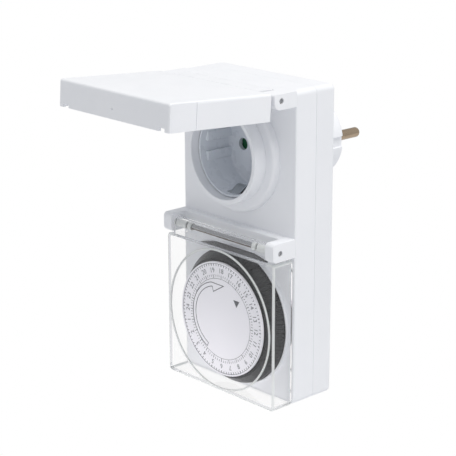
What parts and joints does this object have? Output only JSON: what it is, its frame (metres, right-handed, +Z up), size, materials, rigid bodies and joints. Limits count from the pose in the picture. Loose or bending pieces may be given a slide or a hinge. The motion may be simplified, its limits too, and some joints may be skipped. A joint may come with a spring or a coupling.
{
  "type": "plug-in timer switch",
  "caption": "Outdoor plug-in mechanical day timer: flap-covered socket above, dial under a clear hinged cover below, plug on the back.",
  "frame": {"origin": "centre of the plug's end face, between its two pins", "axes": "+Z up along the housing, +Y out of the back along the plug pins, -Y out of the front, +X to the right seen from the front"},
  "size_m": [0.074, 0.1408, 0.1512],
  "materials": {
    "white_plastic": "satin moulded",
    "socket_plastic": "satin moulded",
    "clear_plastic": "clear polycarbonate",
    "dial_plastic": "printed satin",
    "segment_plastic": "moulded",
    "green_plastic": "moulded",
    "gear_plastic": "natural acetal",
    "black_plastic": "moulded phenolic",
    "red_plastic": "moulded",
    "seal_rubber": "matte",
    "steel": "drawn",
    "nickel_plate": "nickel plated",
    "brass": "stamped"
  },
  "bodies": {
    "housing": {"front_housing": "white_plastic", "rear_housing": "white_plastic", "housing_gasket": "seal_rubber", "housing_screw_lower_left": "steel", "housing_screw_lower_right": "steel", "housing_screw_upper_left": "steel", "housing_screw_upper_right": "steel", "socket_cup": "socket_plastic", "shutter_spring": "steel", "earth_clip_upper": "nickel_plate", "earth_clip_lower": "nickel_plate", "earth_bar": "nickel_plate", "live_contact": "brass", "neutral_contact": "brass", "plug_body": "white_plastic", "plug_pin_live": "nickel_plate", "plug_pin_neutral": "nickel_plate", "plug_earth_upper": "nickel_plate", "plug_earth_lower": "nickel_plate", "neutral_bar": "brass", "live_bar": "brass", "load_bar": "brass", "lid_hinge_pin": "steel", "cover_hinge_pin": "steel", "idler_axle": "steel", "clock_motor": "steel", "mechanism_plate": "gear_plastic", "lever_axle": "steel", "micro_switch": "black_plastic"},
    "lid": {"socket_lid": "white_plastic", "lid_seal": "seal_rubber"},
    "cover": {"clear_cover": "clear_plastic"},
    "dial": {"dial_disc": "dial_plastic", "segment_carrier": "segment_plastic", "dial_spindle": "steel", "dial_gear": "gear_plastic"},
    "segment_1": {"segment_1": "segment_plastic"},
    "segment_2": {"segment_2": "segment_plastic"},
    "segment_3": {"segment_3": "segment_plastic"},
    "segment_4": {"segment_4": "segment_plastic"},
    "idler": {"idler_gear": "gear_plastic"},
    "pinion": {"motor_pinion": "brass"},
    "lever": {"switch_lever": "gear_plastic"},
    "plunger": {"switch_plunger": "red_plastic"},
    "shutter": {"socket_shutter": "green_plastic"}
  },
  "joints": [
    {"name": "lid_hinge", "type": "hinge", "parent": "housing", "child": "lid", "pos_m": [0, -0.059, 0.0303], "axis": [1, 0, 0], "range_deg": [0, 94]},
    {"name": "cover_hinge", "type": "hinge", "parent": "housing", "child": "cover", "pos_m": [0, -0.0591, -0.038], "axis": [-1, 0, 0], "range_deg": [0, 100]},
    {"name": "dial_spin", "type": "hinge", "parent": "housing", "child": "dial", "pos_m": [0, -0.05, -0.0779], "axis": [0, 1, 0], "continuous": true},
    {"name": "segment_1_press", "type": "slide", "parent": "dial", "child": "segment_1", "axis": [0, 1, 0], "range_m": [0, 0.0016]},
    {"name": "segment_2_press", "type": "slide", "parent": "dial", "child": "segment_2", "axis": [0, 1, 0], "range_m": [0, 0.0016]},
    {"name": "segment_3_press", "type": "slide", "parent": "dial", "child": "segment_3", "axis": [0, 1, 0], "range_m": [0, 0.0016]},
    {"name": "segment_4_press", "type": "slide", "parent": "dial", "child": "segment_4", "axis": [0, 1, 0], "range_m": [0, 0.0016]},
    {"name": "idler_spin", "type": "hinge", "parent": "housing", "child": "idler", "pos_m": [0.0138, -0.05, -0.054], "axis": [0, 1, 0], "continuous": true},
    {"name": "pinion_spin", "type": "hinge", "parent": "housing", "child": "pinion", "pos_m": [0.0013, -0.05, -0.054], "axis": [0, 1, 0], "continuous": true},
    {"name": "lever_tilt", "type": "hinge", "parent": "housing", "child": "lever", "pos_m": [-0.0304, -0.0434, -0.0605], "axis": [1, 0, 0], "range_deg": [0, 5], "stiffness_Nm_per_rad": 0.05},
    {"name": "plunger_press", "type": "slide", "parent": "housing", "child": "plunger", "axis": [0, 1, 0], "range_m": [0, 0.0012]},
    {"name": "shutter_slide", "type": "slide", "parent": "housing", "child": "shutter", "axis": [1, 0, 0], "range_m": [0, 0.0056], "stiffness_N_per_m": 60, "deforming": ["shutter_spring"]}
  ],
  "couplings": [
    {"joint": "idler_spin", "follows": "dial_spin", "ratio": -6.6667},
    {"joint": "pinion_spin", "follows": "dial_spin", "ratio": 26.667},
    {"joint": "plunger_press", "follows": "lever_tilt", "m_per_rad": 0.012}
  ]
}
